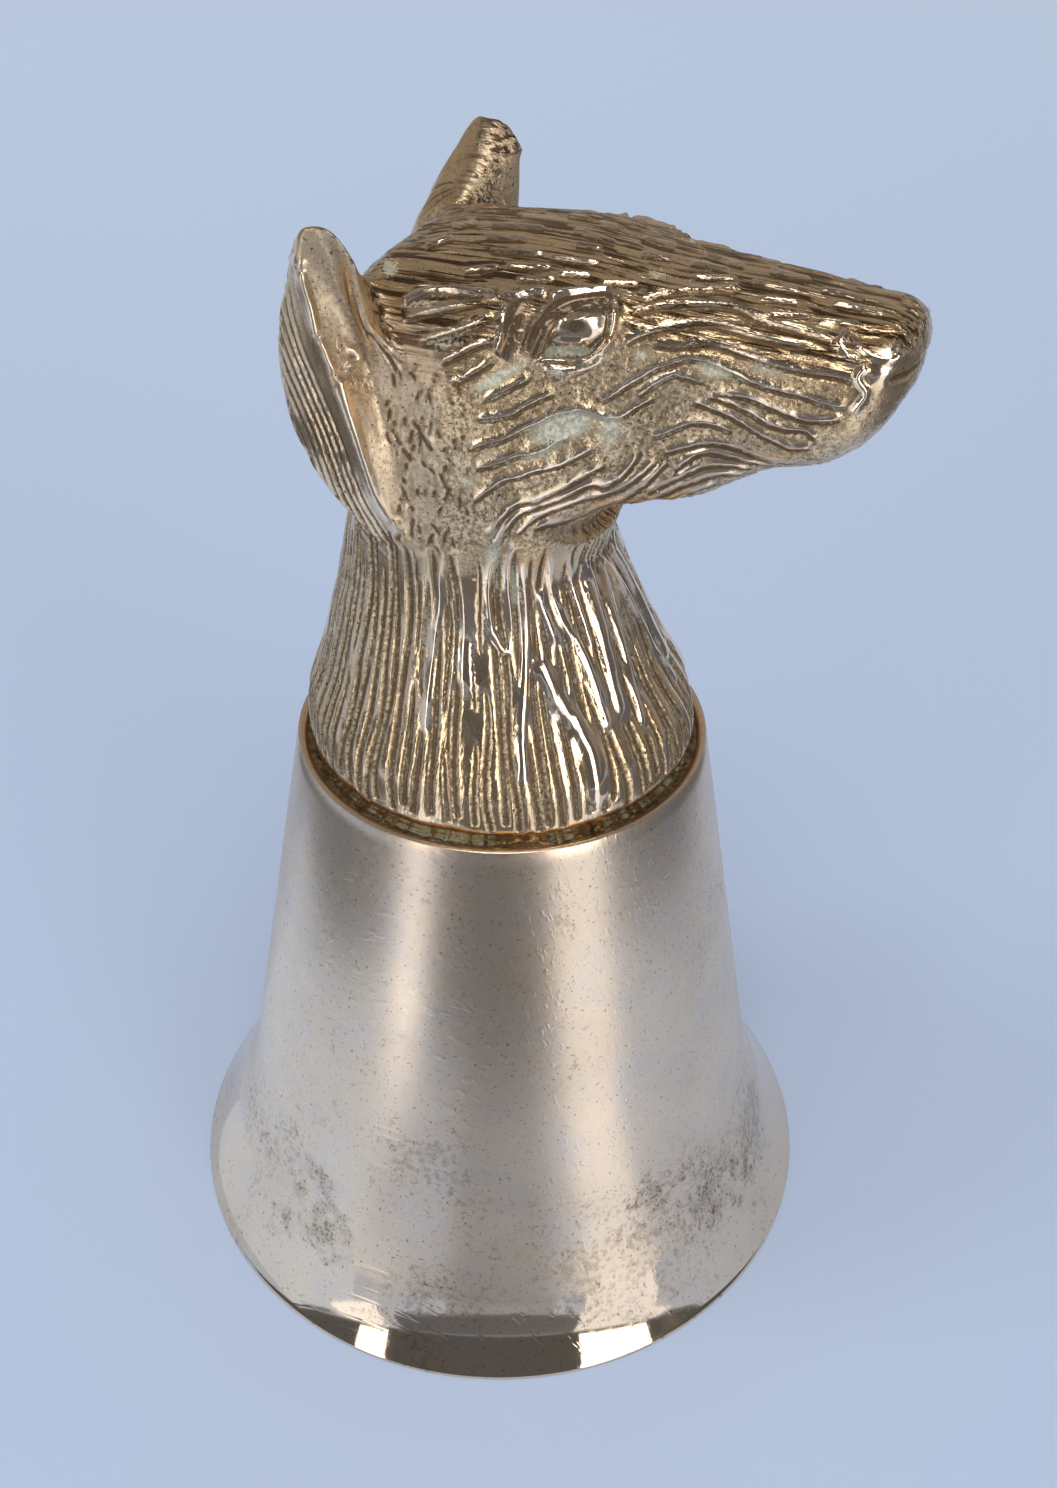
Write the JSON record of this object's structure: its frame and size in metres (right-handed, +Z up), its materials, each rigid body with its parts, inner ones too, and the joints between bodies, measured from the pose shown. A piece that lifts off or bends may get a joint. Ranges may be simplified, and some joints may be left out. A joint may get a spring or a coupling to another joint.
{
  "type": "stirrup cup",
  "caption": "Bell-shaped metal drinking cup that stands on its mouth, its narrow closed end topped by a hollow cast head of a long-muzzled animal with upright ears.",
  "frame": {"origin": "centre of the mouth's rim, on the plane the cup stands on", "axes": "+Z up along the cup's axis from the mouth to the head, +X the way the muzzle points, +Y to the animal's left"},
  "size_m": [0.072, 0.072, 0.1164],
  "materials": {
    "cup_silver": "worn silver plate on brass sheet, satin with fine scratches",
    "floor_silver": "worn silver plate on brass sheet",
    "solder": "dull tarnished solder with verdigris",
    "head_silver": "cast brass, silver worn to a warm tone, dark in the grooves"
  },
  "bodies": {
    "root": {"cup_shell": "cup_silver", "cup_floor": "floor_silver", "floor_solder": "solder", "neck_solder": "solder", "head_casting": "head_silver"}
  },
  "joints": []
}
